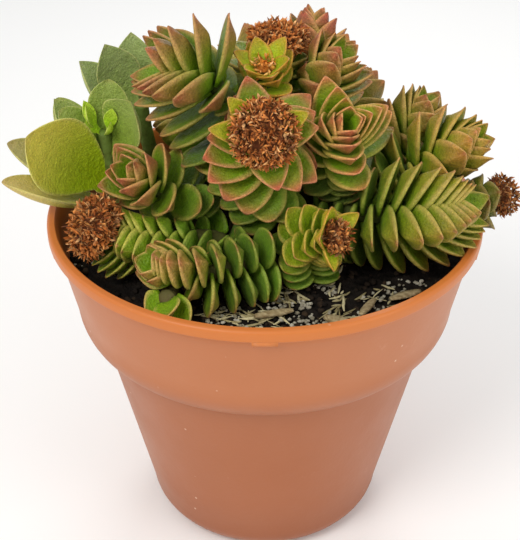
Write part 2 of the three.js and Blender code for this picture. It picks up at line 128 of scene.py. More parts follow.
def srgb(r, g, b):
    """A colour given as 0-255 display values, in linear light."""
    c = np.array([r, g, b], float) / 255
    return np.where(c <= 0.04045, c / 12.92, ((c + 0.055) / 1.055) ** 2.4)


def seeded(name):
    return np.random.default_rng(sum((i + 1) * ord(c) for i, c in enumerate(name)))


def add_object(name, data):
    thing = bpy.data.objects.new(name, data)
    bpy.context.scene.collection.objects.link(thing)
    return thing


def volume(points, faces):
    """The signed volume inside the faces: negative where they look inwards."""
    centre = points.mean(axis=0)
    total = 0.0
    for size in set(map(len, faces)):
        corners = points[np.array([f for f in faces if len(f) == size])] - centre
        for k in range(1, size - 1):
            total += np.einsum("ij,ij->", corners[:, 0], np.cross(corners[:, k], corners[:, k + 1]))
    return total


# A part with no more faces than this is an open strip, and has no inside to face away from.
LARGEST_OPEN = 8


class Mesh:
    """Collects vertices, faces and a colour for each vertex, in millimetres."""

    def __init__(self):
        self.vertices = []
        self.faces = []
        self.tints = []
        self.count = 0

    def add(self, points, faces, tints):
        points = np.asarray(points, float).reshape(-1, 3)
        if len(faces) > LARGEST_OPEN and volume(points, faces) < 0:
            faces = [f[::-1] for f in faces]
        tints = np.broadcast_to(np.asarray(tints, float), (len(points), 3))
        self.vertices.append(points)
        self.tints.append(tints)
        self.faces += [tuple(i + self.count for i in f) for f in faces]
        self.count += len(points)

    def build(self, name, material, replaced):
        data = bpy.data.meshes.new(name)
        points = np.concatenate(self.vertices) * MM
        data.from_pydata(points.tolist(), [], self.faces)
        tint = data.color_attributes.new("tint", "FLOAT_COLOR", "POINT")
        colours = np.ones((self.count, 4), np.float32)
        colours[:, :3] = np.concatenate(self.tints)
        tint.data.foreach_set("color", colours.ravel())
        data.materials.append(material)
        data.polygons.foreach_set("use_smooth", [True] * len(data.polygons))
        data.validate()
        data.update()
        piece = add_object(name, data)
        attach(piece, "root")
        if replaced:
            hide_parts(*replaced)
        return piece


def closed_faces(rows, ring):
    """Quads between rows of points that each close on themselves, and a face at either end."""
    faces = []
    for i in range(rows - 1):
        for j in range(ring):
            k = (j + 1) % ring
            faces.append((i * ring + j, i * ring + k, (i + 1) * ring + k, (i + 1) * ring + j))
    return faces + [tuple(range(ring))[::-1], tuple(range((rows - 1) * ring, rows * ring))]


def spun(points, angle):
    """Points turned about Z."""
    x, y, z = np.asarray(points, float).T
    c, s = math.cos(angle), math.sin(angle)
    return np.column_stack([x * c - y * s, x * s + y * c, z])


# ---- Materials ----


class Nodes:
    """A material's node tree, with short ways to add and join nodes."""

    def __init__(self, name):
        self.material = bpy.data.materials.new(name)
        self.material.use_nodes = True
        self.tree = self.material.node_tree
        self.tree.nodes.clear()
        self.shader = self.add("ShaderNodeBsdfPrincipled")
        output = self.add("ShaderNodeOutputMaterial")
        self.join(self.shader.outputs[0], output.inputs["Surface"])
        self.place = self.add("ShaderNodeTexCoord").outputs["Object"]

    def add(self, kind, **values):
        node = self.tree.nodes.new(kind)
        for key, value in values.items():
            setattr(node, key, value)
        return node

    def join(self, a, b):
        self.tree.links.new(a, b)

    def put(self, **sockets):
        for key, value in sockets.items():
            self.shader.inputs[key.replace("_", " ")].default_value = value

    def fill(self, socket, value):
        """Joins a socket to another node's output, or writes a number or a colour in it."""
        if hasattr(value, "is_linked"):
            self.join(value, socket)
        else:
            socket.default_value = (*value, 1) if np.ndim(value) else value

    def texture(self, kind, output, **sockets):
        """A texture that stays with the object."""
        node = self.add(kind)
        for key, value in sockets.items():
            node.inputs[key].default_value = value
        self.join(self.place, node.inputs["Vector"])
        return node.outputs[output]

    def noise(self, scale, detail=4, roughness=0.6):
        return self.texture("ShaderNodeTexNoise", "Fac", Scale=scale, Detail=detail, Roughness=roughness)

    def spots(self, scale):
        """The distance to the nearest of scattered points."""
        return self.texture("ShaderNodeTexVoronoi", "Distance", Scale=scale)

    def between(self, fac, low, high, to_low=0.0, to_high=1.0):
        """Stretches what lies from low to high over to_low to to_high, and cuts off the rest."""
        node = self.add("ShaderNodeMapRange", clamp=True)
        for socket, value in zip(("From Min", "From Max", "To Min", "To Max"), (low, high, to_low, to_high)):
            node.inputs[socket].default_value = value
        self.join(fac, node.inputs["Value"])
        return node.outputs["Result"]

    def mix(self, fac, a, b, blend="MIX"):
        node = self.add("ShaderNodeMix", data_type="RGBA", blend_type=blend)
        for socket, value in (("Factor", fac), (6, a), (7, b)):
            self.fill(node.inputs[socket], value)
        return node.outputs[2]

    def math(self, operation, a, b):
        node = self.add("ShaderNodeMath", operation=operation)
        self.fill(node.inputs[0], a)
        self.fill(node.inputs[1], b)
        return node.outputs[0]

    def bump(self, height, strength, distance_mm):
        node = self.add("ShaderNodeBump")
        node.inputs["Strength"].default_value = strength
        node.inputs["Distance"].default_value = distance_mm * MM
        self.join(height, node.inputs["Height"])
        self.join(node.outputs["Normal"], self.shader.inputs["Normal"])

    def tint(self):
        """The colour that each vertex was given."""
        return self.add("ShaderNodeAttribute", attribute_name="tint").outputs["Color"]

    def times(self, a, b):
        return self.math("MULTIPLY", a, b)

    def finish(self, colour, patches, low, high):
        """Takes the colour, and a roughness from low to high in patches of a noise's scale."""
        self.join(colour, self.shader.inputs["Base Color"])
        self.join(self.between(patches, 0.3, 0.7, low, high), self.shader.inputs["Roughness"])
        return self.material


def leaf_material(name, speckle, mottle, rough):
    """A waxy leaf: its tint, mottled and finely speckled, with a soft velvety bloom."""
    n = Nodes(name)
    n.put(Subsurface_Weight=0.12, Subsurface_Scale=0.8 * MM, Sheen_Weight=0.02, Sheen_Roughness=0.5)
    n.put(Specular_IOR_Level=0.32)
    n.shader.inputs["Subsurface Radius"].default_value = (0.6, 1.0, 0.25)
    blotch = n.between(n.noise(260), 0.35, 0.7)
    streak = n.between(n.noise(820, detail=3), 0.4, 0.66)
    fine = n.between(n.noise(2600, detail=2), 0.42, 0.7)
    colour = n.mix(n.times(blotch, mottle), n.tint(), (1.16, 1.26, 0.85), "MULTIPLY")
    colour = n.mix(n.times(streak, mottle), colour, (0.66, 0.74, 0.6), "MULTIPLY")
    colour = n.mix(n.times(fine, speckle), colour, (0.55, 0.58, 0.5), "MULTIPLY")
    bloom = n.between(n.noise(3100, detail=2), 0.56, 0.7)
    colour = n.mix(n.times(bloom, speckle), colour, (1.7, 1.6, 1.55), "MULTIPLY")
    n.bump(n.math("ADD", n.noise(1700, detail=3), n.times(n.noise(420), 1.5)), 1.0, 0.34)
    return n.finish(colour, n.noise(700), rough - 0.08, rough + 0.12)


def floret_material():
    """Dry, dull petals, browner in patches."""
    n = Nodes("dried_floret")
    n.put(Subsurface_Weight=0.05, Subsurface_Scale=0.5 * MM, Specular_IOR_Level=0.25)
    patch = n.between(n.noise(1400), 0.35, 0.7)
    colour = n.mix(n.times(patch, 0.4), n.tint(), (0.5, 0.42, 0.35), "MULTIPLY")
    n.bump(n.noise(5200), 0.5, 0.15)
    return n.finish(colour, n.noise(1800), 0.7, 0.95)


def stem_material():
    """A stem's corky skin, rough and patchy."""
    n = Nodes("woody_stem")
    n.put(Specular_IOR_Level=0.3)
    patch = n.between(n.noise(420), 0.35, 0.7)
    colour = n.mix(patch, n.tint(), (0.6, 0.5, 0.4), "MULTIPLY")
    n.bump(n.noise(1500), 0.6, 0.3)
    return n.finish(colour, n.noise(900), 0.6, 0.9)


def grain_material(name, scale, low, high):
    """Loose matter: its tint, darker and lighter from grain to grain."""
    n = Nodes(name)
    n.put(Specular_IOR_Level=0.2)
    colour = n.mix(n.noise(scale), (low, low, low), (high, high, high))
    colour = n.mix(1.0, n.tint(), colour, "MULTIPLY")
    n.bump(n.noise(scale * 2.2, detail=6), 0.9, 0.5)
    return n.finish(colour, n.noise(scale), 0.8, 1.0)


def pot_material():
    """Moulded plastic: faint clouding and flow, fine scratches, and pale dust specks."""
    n = Nodes("moulded_plastic")
    n.put(Subsurface_Weight=0.06, Subsurface_Scale=1.5 * MM, Specular_IOR_Level=0.42)
    n.shader.inputs["Subsurface Radius"].default_value = (1.0, 0.45, 0.25)
    cloud = n.between(n.noise(22, detail=5), 0.3, 0.7)
    colour = n.mix(n.times(cloud, 0.35), n.tint(), (0.86, 0.8, 0.76), "MULTIPLY")
    specks = n.between(n.spots(190), 0.03, 0.075, 1.0, 0.0)
    sparse = n.between(n.noise(60), 0.56, 0.6)
    dust = n.times(n.times(specks, sparse), 0.7)
    colour = n.mix(dust, colour, srgb(238, 214, 190))
    scuff = n.times(n.between(n.noise(130, detail=8, roughness=0.8), 0.62, 0.72), 0.16)
    colour = n.mix(scuff, colour, srgb(232, 190, 160))
    n.bump(n.math("ADD", n.noise(900, detail=2), n.times(n.noise(70), 2.0)), 0.25, 0.12)
    return n.finish(colour, n.noise(45, detail=6), 0.34, 0.5)


MATERIALS = {
    "pot": pot_material(),
    "stacked": leaf_material("stacked_leaf_skin", 0.6, 0.55, 0.42),
    "broad": leaf_material("broad_leaf_skin", 0.5, 0.3, 0.46),
    "stem": stem_material(),
    "floret": floret_material(),
    "soil": grain_material("dark_mix", 900, 0.4, 1.5),
    "grit": grain_material("pale_grit", 1500, 0.6, 1.15),
    "bark": grain_material("bark_fibre", 1100, 0.55, 1.2),
}

# ---- Pot ----


def outer_wall():
    """[radius, height] from the foot's flat edge up to the underside of the lip."""
    shoulder_radius = COLLAR_RADIUS - COLLAR_TAPER
    body_radius = shoulder_radius - SHOULDER_STEP
    heel_radius = body_radius - BODY_TAPER
    body_top = COLLAR_TOP - COLLAR_HEIGHT - SHOULDER_HEIGHT
    line = []
    for a in np.linspace(0, math.pi / 2, 10):
        line.append((heel_radius - FOOT_RADIUS * (1 - math.sin(a)), FOOT_RADIUS * (1 - math.cos(a))))
    for t in np.linspace(0, 1, 12)[1:]:
        line.append((lerp(heel_radius, body_radius, t), lerp(FOOT_RADIUS, body_top, t)))
    for a in np.linspace(0, math.pi / 2, 12)[1:]:
        r = body_radius + SHOULDER_STEP * math.sin(a)
        line.append((r, body_top + SHOULDER_HEIGHT * (1 - math.cos(a))))
    for t in np.linspace(0, 1, 8)[1:]:
        r = lerp(shoulder_radius, COLLAR_RADIUS, t)
        line.append((r, lerp(COLLAR_TOP - COLLAR_HEIGHT, COLLAR_TOP, t)))
    return line


def inset(line, distance):
    """A line of [radius, height] moved inwards, square to itself."""
    moved = []
    for i, (r, z) in enumerate(line):
        r0, z0 = line[max(i - 1, 0)]
        r1, z1 = line[min(i + 1, len(line) - 1)]
        length = math.hypot(r1 - r0, z1 - z0)
        moved.append((r - distance * (z1 - z0) / length, z + distance * (r1 - r0) / length))
    return moved


def pot_profile():
    """[radius, height] all round the wall, from the underside's centre to the floor's centre."""
    outer = outer_wall()
    inner = [(r, z) for r, z in inset(outer, WALL) if z > FLOOR]
    rim = [(RIM_RADIUS - 0.35 + 0.35 * math.cos(a), COLLAR_TOP + 0.35 - 0.35 * math.sin(a))
           for a in np.linspace(math.pi / 2, 0, 4)]
    rim += [(RIM_RADIUS - 0.8 + 0.8 * math.cos(a), POT_HEIGHT - 0.8 + 0.8 * math.sin(a))
            for a in np.linspace(0, math.pi / 2, 6)]
    inner_lip = inner[-1][0] + LIP_OVERHANG * 0.5
    rim += [(inner_lip + 0.35, POT_HEIGHT), (inner_lip, POT_HEIGHT - 0.35)]
    under = [(0, 0), (RECESS_INNER, 0), (RECESS_INNER + RECESS_DEPTH, RECESS_DEPTH),
             (RECESS_OUTER, RECESS_DEPTH), (RECESS_OUTER + RECESS_DEPTH, 0)]
    floor = [(inner[0][0] - 1.2, FLOOR), (RECESS_OUTER, FLOOR), (RECESS_INNER, FLOOR), (0, FLOOR)]
    return under + outer + rim + inner[::-1] + floor


def pot_tint(points):
    """Warmer and more orange at the lip, paler on the collar, darker towards the foot."""
    z = points[:, 2:3]
    body = srgb(170, 100, 60)
    collar = srgb(188, 115, 71)
    lip = srgb(205, 118, 52)
    foot = srgb(158, 92, 56)
    tint = lerp(foot, body, smooth(z, 0, 22))
    tint = lerp(tint, collar, smooth(z, 56, 68))
    return lerp(tint, lip, smooth(z, COLLAR_TOP - 0.4, COLLAR_TOP + 0.2))


def turned(profile, segments):
    """A profile of [radius, height] turned about Z."""
    points = []
    for r, z in profile:
        for k in range(segments):
            a = 2 * math.pi * k / segments
            points.append((r * math.cos(a), r * math.sin(a), z))
    return np.array(points)


def add_drill(mesh, x, y):
    """A short upright cylinder that cuts one drain hole."""
    drill = turned([(DRAIN_RADIUS, -DRILL_REACH), (DRAIN_RADIUS, FLOOR + DRILL_REACH)], DRILL_SIDES)
    mesh.add(drill + np.array([x, y, 0]), closed_faces(2, DRILL_SIDES), 1.0)


def cut(piece, cutter_mesh):
    """Takes a mesh's space out of a piece."""
    cutter = add_object("cutter", cutter_mesh)
    modifier = piece.modifiers.new("cut", "BOOLEAN")
    modifier.operation = "DIFFERENCE"
    modifier.solver = "EXACT"
    modifier.object = cutter
    bpy.context.view_layer.update()
    depsgraph = bpy.context.evaluated_depsgraph_get()
    result = bpy.data.meshes.new_from_object(piece.evaluated_get(depsgraph))
    piece.modifiers.clear()
    piece.data = result
    bpy.data.objects.remove(cutter)


def build_pot():
    profile = pot_profile()[1:-1]
    points = turned(profile, POT_SEGMENTS)
    # The rim is a little out of true, as thin mouldings are.
    angle = np.arctan2(points[:, 1], points[:, 0])
    slack = smooth(points[:, 2], 40, POT_HEIGHT) * (0.12 * np.sin(2 * angle + 0.6) - 0.12)
    radius = np.hypot(points[:, 0], points[:, 1])
    points[:, :2] *= ((radius + slack) / np.maximum(radius, 1e-6))[:, None]
    mesh = Mesh()
    mesh.add(points, closed_faces(len(profile), POT_SEGMENTS), pot_tint(points))
    pot = mesh.build("pot_moulding", MATERIALS["pot"], ["pot"])
    drills = Mesh()
    ring = (RECESS_INNER + RECESS_OUTER + RECESS_DEPTH) / 2
    for i in range(DRAIN_HOLES):
        a = 2 * math.pi * (i + 0.5) / DRAIN_HOLES
        add_drill(drills, ring * math.cos(a), ring * math.sin(a))
    cutter = bpy.data.meshes.new("drains")
    cutter.from_pydata((np.concatenate(drills.vertices) * MM).tolist(), [], drills.faces)
    cut(pot, cutter)
    pot.data.polygons.foreach_set("use_smooth", [True] * len(pot.data.polygons))
    edges = pot.modifiers.new("edges", "EDGE_SPLIT")
    edges.split_angle = math.radians(38)


def add_block(mesh, centre, turn, size, tint):
    """A box with bevelled edges, turned about Z."""
    hx, hy, hz = (s / 2 for s in size)
    bevel = min(0.25, hx * 0.6, hy * 0.6, hz * 0.6)
    points = []
    for level, shrink in ((-hz, bevel), (bevel - hz, 0), (hz - bevel, 0), (hz, bevel)):
        points += [(sx * (hx - shrink), sy * (hy - shrink), level)
                   for sx, sy in ((-1, -1), (1, -1), (1, 1), (-1, 1))]
    mesh.add(spun(points, turn) + np.array(centre), closed_faces(4, 4), tint)


def build_rim_flash():
    """The small tabs under the lip, and thin strips of flash between them."""
    mesh = Mesh()
    rng = seeded("flash")
    tab_tint, flash_tint = srgb(210, 124, 62), srgb(236, 164, 106)
    for i in range(RIM_TABS):
        a = 2 * math.pi * i / RIM_TABS - math.pi / 2
        centre = (COLLAR_RADIUS * math.cos(a), COLLAR_RADIUS * math.sin(a), COLLAR_TOP - TAB_DROP / 2 + 0.2)
        add_block(mesh, centre, a, (2.6, TAB_WIDTH, TAB_DROP + 0.5), tab_tint)
    outer = COLLAR_RADIUS + 0.42
    inner = outer - 0.7
    for _ in range(FLASH_STRIPS):
        start = rng.uniform(0, 2 * math.pi)
        sweep = rng.uniform(0.06, 0.32)
        drop = rng.uniform(0.25, 0.6)
        steps = max(4, int(sweep * 60))
        points = []
        for t in np.linspace(0, 1, steps):
            a = start + sweep * t
            low = COLLAR_TOP - drop * math.sin(math.pi * t) ** 0.4 * (0.8 + 0.2 * math.sin(9 * t + start))
            for r, z in ((outer, COLLAR_TOP + 0.3), (outer, low), (inner, low), (inner, COLLAR_TOP + 0.3)):
                points.append((r * math.cos(a), r * math.sin(a), z))
        mesh.add(points, closed_faces(steps, 4), flash_tint)
    mesh.build("rim_flash", MATERIALS["pot"], [])


# ---- Shoots ----

# Each shoot's root, tip and aim, its leafy length, a grown leaf's length, width and
# thickness, the twist and phase of its pairs, a leaf's angle when young and grown, and a dried
# head's radius and height, all as in the frame. Heights are from the pot's rim. Then come how
# red and lime it is, its painted shade (dark; below zero it is painted light), how pale its old
# leaves are, and the bracts round its head, each [turn, tilt, length], with how fresh a lime they are.
SHOOTS = {
    "front": dict(
        root=(0.5, -8.5), tip=(-0.6, -19.4, 28.6), aim=(0.1, -0.82, 0.55), leafy=28,
        leaf=(15.7, 9.5, 2.6), twist=9, phase=-16, spread=(60, 106),
        head=(8.2, 7.5), red=1.15, fresh=0.7, bracts=((335, 62, 12.5), (15, 66, 13.5), (222, 62, 12))),
    "upper_left": dict(
        root=(-6.8, -3.4), tip=(-18.8, -4.6, 36.5), aim=(-0.95, -0.16, 0.28), leafy=26,
        leaf=(17.6, 9, 2.6), twist=4, phase=-41, spread=(24, 100), red=0.85, dark=0.25),
    "upper_right": dict(
        root=(20, -4), tip=(16.5, -10.7, 24.8), aim=(0.21, -0.71, 0.67), leafy=26,
        leaf=(16, 9, 2.6), twist=2, phase=-10, spread=(6, 101), red=0.85, pale=0.9, dark=-0.6),
    "crown": dict(
        root=(-1, 5), tip=(-0.3, -1, 35.5), aim=(-0.05, -0.4, 0.9), leafy=14,
        leaf=(9.5, 6, 2), twist=6, phase=30, spread=(34, 88),
        head=(2.6, 2.6), red=0.2, lime=1, fresh=1,
        bracts=((20, 52, 9), (80, 46, 8.5), (140, 52, 9), (200, 48, 8.5), (260, 54, 9.5), (320, 48, 8.5))),
    "crown_back": dict(
        root=(4, 13), tip=(3, 12, 35), aim=(0.05, 0.1, 0.99), leafy=18,
        leaf=(12.5, 9, 2.6), twist=6, phase=0, spread=(62, 95), head=(7.8, 6.5), red=0.4),
    "back_right": dict(
        root=(11, 21), tip=(11, 24, 32.5), aim=(0.15, 0.45, 0.88), leafy=26,
        leaf=(13, 9, 2.6), twist=7, phase=45, spread=(10, 95), red=0.95),
    "right_high": dict(
        root=(11, 7), tip=(13.5, 6, 31.7), aim=(0.6, -0.2, 0.78), leafy=24,
        leaf=(15.5, 9.5, 2.8), twist=7, phase=60, spread=(12, 95), red=0.8),
    "right_front": dict(
        root=(8.5, -7), tip=(40.5, -18.9, 9.1), aim=(0.86, -0.28, 0.42), leafy=34,
        leaf=(15.4, 9.5, 2.8), twist=0, phase=175, spread=(24, 84), red=0.35, lime=0.15, dark=0.2),
    "right_top": dict(
        root=(21, 1), tip=(44, -2, 15.8), aim=(0.72, -0.25, 0.64), leafy=26,
        leaf=(15, 9.5, 2.8), twist=7, phase=30, spread=(10, 95), red=0.5, lime=0.3),
    "right_back": dict(
        root=(19, 14), tip=(37, 15, 14), aim=(0.3, 0, 0.95), leafy=22,
        leaf=(15, 9.5, 2.8), twist=7, phase=45, spread=(10, 95), red=0.6),
    "far_right": dict(
        root=(25, -6), tip=(52.5, -8, 6.5), aim=(0.95, 0, 0.3), leafy=22,
        leaf=(12, 8.5, 2.6), twist=6, phase=45, spread=(60, 92), head=(4.8, 6.5), red=0.4, dark=1),
    "left_small": dict(
        root=(-15, -5), tip=(-28, -14, 14.5), aim=(-0.5, -0.5, 0.7), leafy=18,
        leaf=(13, 8.5, 2.4), twist=8, phase=20, spread=(10, 92), red=0.85, dark=0.1),
    "left_low": dict(
        root=(-8, -13), tip=(-35.2, -19.5, 3.7), aim=(-0.8, -0.2, 0.56), leafy=30,
        leaf=(11.5, 8, 2.2), twist=-2, phase=117, spread=(60, 58), head=(8.2, 9.6), red=0.1, dark=-0.4),
    "front_left": dict(
        root=(3, -20.5), tip=(-22, -32, 2.3), aim=(-0.67, -0.25, 0.7), leafy=26,
        leaf=(10.5, 9, 2.4), twist=1.2, phase=43, spread=(22, 92), red=0.65),
    "front_low": dict(
        root=(-21, -27), tip=(-21.6, -36, -2.7), aim=(-0.1, -0.75, 0.62), leafy=9,
        leaf=(10, 7.5, 2.2), twist=8, phase=20, spread=(12, 85), red=0.5, dark=-0.2),
    "front_small": dict(
        root=(9, -20), tip=(13.8, -29, 9), aim=(0.75, -0.6, 0.3), leafy=20,
        leaf=(8.5, 7, 2.2), twist=3, phase=0, spread=(60, 92),
        head=(4, 5), red=0.15, lime=0.4, fresh=0.8,
        bracts=((0, 62, 9), (70, 62, 9), (300, 62, 9), (220, 62, 9))),
    "back": dict(
        root=(0, 23), tip=(-2, 34, 23), aim=(-0.05, 0.75, 0.66), leafy=26,
        leaf=(15, 9.5, 2.8), twist=7, phase=30, spread=(10, 95), red=0.7),
    "back_low_left": dict(
        root=(-12, 20), tip=(-19, 38, 9), aim=(-0.4, 0.85, 0.35), leafy=24,
        leaf=(13, 9.5, 2.8), twist=6, phase=45, spread=(60, 94), head=(5.5, 6), red=0.4),
    "back_low_right": dict(
        root=(14, 27), tip=(23, 38, 11), aim=(0.45, 0.78, 0.43), leafy=26,
        leaf=(14, 9.5, 2.8), twist=7, phase=10, spread=(10, 95), red=0.6),
}


def placed(place):
    """A place whose height is from the pot's rim."""
    return np.array([place[0], place[1], POT_HEIGHT + place[2]], float)


def bezier(p0, p1, p2, p3, t):
    """Points of a cubic curve."""
    t = np.asarray(t, float)[:, None]
    return (1 - t) ** 3 * p0 + 3 * (1 - t) ** 2 * t * p1 + 3 * (1 - t) * t * t * p2 + t ** 3 * p3


class Stem:
    """A stem's line above the mix, straight up from its root and round to look along aim."""

    def __init__(self, root, tip, look):
        start = np.array([root[0], root[1], SOIL_TOP], float)
        length = np.linalg.norm(tip - start) * STEM_BEND
        self.follow(start, start + np.array([0, 0, length]), tip - look * length, tip)

    def follow(self, *corners):
        self.points = bezier(*corners, np.linspace(0, 1, 401))
        steps = np.linalg.norm(np.diff(self.points, axis=0), axis=1)
        self.along = np.concatenate([[0], np.cumsum(steps)])
        self.span = self.along[-1]

    def at(self, distance):
        return np.array([np.interp(distance, self.along, self.points[:, k]) for k in range(3)])

    def direction(self, distance):
        d = 0.15
        a, b = max(0, distance - d), min(self.span, distance + d)
        return unit(self.at(b) - self.at(a))


MOST_CROSSINGS = 60


class Solid:
    """Says whether points are inside a frame node."""

    def __init__(self, node):
        data = nodes[node].data
        points = [v.co / MM for v in data.vertices]
        self.tree = BVHTree.FromPolygons(points, [tuple(p.vertices) for p in data.polygons])

    def holds(self, point):
        direction = Vector((0.5377, 0.3713, 0.7571))
        start = Vector(point)
        crossings = 0
        while crossings < MOST_CROSSINGS:
            hit, _, _, _ = self.tree.ray_cast(start, direction)
            if hit is None:
                break
            crossings += 1
            start = hit + direction * 1e-3
        return crossings % 2 == 1


def leaf_places(shoot, stem):
    """From the tip down: where each leaf starts, its three directions, its size and age."""
    last = min(shoot["leafy"], stem.span - 1.5)
    look = unit(shoot["aim"])
    side = unit(np.cross(look, (0, 0, 1)))
    back = FIRST_PAIR_BELOW_HEAD if "head" in shoot else FIRST_PAIR
    pair = 0
    while back < last:
        centre = stem.at(stem.span - back)
        along = stem.direction(stem.span - back)
        side = unit(side - along * side.dot(along))
        across = np.cross(along, side)
        age = back / shoot["leafy"]
        grown = lerp(YOUNG_SHARE, 1, smooth(age, 0, 0.25))
        young, old = shoot["spread"]
        tilt = math.radians(lerp(young, old, smooth(age, -0.15, 0.7)))
        for half in (0, 180):
            turn = math.radians(shoot["phase"] + half + pair * (90 + shoot["twist"]))
            out = side * math.cos(turn) + across * math.sin(turn)
            length = out * math.sin(tilt) + along * math.cos(tilt)
            width = np.cross(along, out)
            face = np.cross(length, width)
            yield centre, (length, width, face), [d * grown for d in shoot["leaf"]], age
        back += lerp(YOUNG_PITCH, GROWN_PITCH, smooth(age, 0, 0.5))
        pair += 1


def measured(solid, centre, axes, size):
    """The leaf's length in the frame, or None where it has no such leaf."""
    length, _, face = axes
    full, _, thickness = size
    for reach in np.arange(full, SHORTEST_LEAF, -0.25):
        inner = [centre + length * (reach * s) - face * (0.12 * thickness) for s in (0.62, 0.8, 0.93)]
        if all(solid.holds(p) for p in inner):
            return reach
    return None


# A leaf's cross-section, from one margin over the top to the other and back below the keel:
# [share of half width, share of the margin's thickness, share of the keel's depth].
LEAF_ROWS = 16
LEAF_RING = [(-0.93, 0, 0), (-0.65, 0, 0), (-0.3, 0, 0), (0, 0, 0), (0.3, 0, 0), (0.65, 0, 0), (0.93, 0, 0),
             (1.0, 0.5, 0), (0.95, 1, 0), (0.7, 1, 0.26), (0.45, 1, 0.52), (0.2, 1, 0.8), (0, 1, 1),
             (-0.2, 1, 0.8), (-0.45, 1, 0.52), (-0.7, 1, 0.26), (-0.95, 1, 0), (-1.0, 0.5, 0)]
RING = len(LEAF_RING)
ACROSS, EDGE, KEEL = (np.array(column, float) for column in zip(*LEAF_RING))
UNDER = (EDGE == 1) * 1.0
MARGIN = smooth(np.abs(ACROSS), 0.8, 0.94)
LEAF_FACES = closed_faces(LEAF_ROWS, RING)


def leaf_points(reach, width, thickness, blunt, curl, fold):
    """A leaf along X, with its face up: a little hollow above, keeled below, cut to its tip."""
    share = 1 - (1 - np.linspace(0, 1, LEAF_ROWS)) ** 1.5
    rows = []
    for u in share:
        rise = smooth(u, -0.4, 0.42)
        t = max(0, (u - 0.4) / 0.6)
        fall = max(0, 1 - t ** (1.7 + 1.5 * blunt)) ** (0.95 - 0.3 * blunt)
        half = width / 2 * (0.42 + 0.58 * rise) * fall + 0.12
        margin = thickness * 0.3 * (0.35 + 0.65 * fall)
        keel = thickness * 0.7 * (0.5 + 0.5 * smooth(u, 0, 0.7)) * (1 - smooth(u, 0.66, 1.05))
        lift = curl * reach * (u * u - 0.3 * u)
        rise_at_edge = fold * np.abs(ACROSS) ** 1.3 * half
        z = lift + rise_at_edge - EDGE * margin - KEEL * keel
        x = u * reach - UNDER * (0.05 * reach) * (KEEL - 0.2) * smooth(u, 0.5, 1)
        rows.append(np.column_stack([x, ACROSS * half, z]))
    return np.concatenate(rows), share


GREEN = srgb(118, 150, 18)
DEEP_GREEN = srgb(84, 120, 20)
OLD_GREEN = srgb(118, 152, 46)
PALE_GREEN = srgb(134, 158, 76)
LIME = srgb(166, 184, 18)
RED = srgb(172, 92, 66)
DARK_RED = srgb(136, 78, 48)
ROSE = srgb(204, 96, 78)
MARGIN_PALE = srgb(196, 184, 92)
MARGIN_ROSE = srgb(220, 144, 104)
MARGIN_ORANGE = srgb(210, 142, 52)


def leaf_tints(share, age, shoot, rng):
    """Green at the base and on the face, redder to the tip and below, with a pale margin."""
    u = np.repeat(share, RING)[:, None]
    keel = np.tile(KEEL, LEAF_ROWS)[:, None]
    margin = np.tile(MARGIN, LEAF_ROWS)[:, None]
    under = np.tile(UNDER, LEAF_ROWS)[:, None]
    red = shoot.get("red", 0.5) * (1 - 0.8 * smooth(age, 0.25, 0.7)) * rng.uniform(0.75, 1.15)
    lime = shoot.get("lime", 0) * (1 - smooth(age, 0.3, 0.8))
    old = lerp(lerp(DEEP_GREEN, OLD_GREEN, rng.uniform(0, 1)), PALE_GREEN, shoot.get("pale", 0))
    base = lerp(lerp(GREEN, LIME, lime), old, smooth(age, 0.3, 0.75)) * rng.uniform(0.88, 1.12)
    tint = base * np.ones_like(u)
    tint = lerp(tint, lerp(base, LIME, 0.3), smooth(u, 0.55, 0.1) * 0.4)
    flushed = lerp(RED, DARK_RED, rng.uniform(0, 0.7))
    flush = red * (under * smooth(u, 0.2, 0.85) + (1 - under) * smooth(u, 0.55, 1.0) * 0.55)
    tint = lerp(tint, flushed, np.clip(flush, 0, 1))
    tint = lerp(tint, ROSE, np.clip(red * smooth(u, 0.8, 1.0) * 0.7, 0, 1))
    edge = lerp(MARGIN_PALE, MARGIN_ORANGE, lime) if lime > 0.2 else MARGIN_PALE
    edge = lerp(edge, MARGIN_ROSE, np.clip(red * smooth(u, 0.2, 0.8), 0, 1))
    tint = lerp(tint, edge, margin * smooth(u, 0.1, 0.35) * (0.75 - 0.55 * smooth(age, 0.25, 0.8)))
    tint = lerp(tint, edge, under * smooth(keel, 0.85, 1.0) * 0.2 * smooth(u, 0.3, 0.7))
    tint = lerp(tint, MARGIN_ORANGE, lime * smooth(u, 0.5, 1.0) * (0.5 + 0.4 * under))
    tip = lerp(MARGIN_ROSE, DARK_RED, rng.uniform(0, 1) * (1 - lime))
    tint = lerp(tint, tip, smooth(u, 0.95, 1.0) * 0.7)
    # The shoot's dark value is painted shade over the whole shoot, and painted light where it is below zero.
    return tint * (1 - 0.45 * shoot.get("dark", 0))


def add_stem(mesh, stem, radius, tints, ribs):
    """A stem with the joints of its fallen leaves, and its straight stretch in the mix."""
    rings, sides = 60, 14
    distances = np.linspace(0, stem.span, rings)
    side = unit(np.cross(stem.direction(stem.span), (0, 0, 1)) + np.array([1e-4, 0, 0]))
    points = []
    for d in distances[::-1]:
        along = stem.direction(d)
        side = unit(side - along * side.dot(along))
        across = np.cross(along, side)
        ring_radius = radius * (1 + ribs * math.sin(d * 3.7)) * (0.45 if d > stem.span - 0.01 else 1)
        for k in range(sides):
            a = 2 * math.pi * k / sides
            points.append(stem.at(d) + (side * math.cos(a) + across * math.sin(a)) * ring_radius)
    below = points[-sides:]
    points += [p - np.array([0, 0, ROOT_DEPTH]) for p in below]
    points = np.array(points)
    height = smooth(points[:, 2:3], SOIL_TOP, SOIL_TOP + 14)
    mesh.add(points, closed_faces(rings + 1, sides), lerp(tints[0], tints[1], height))


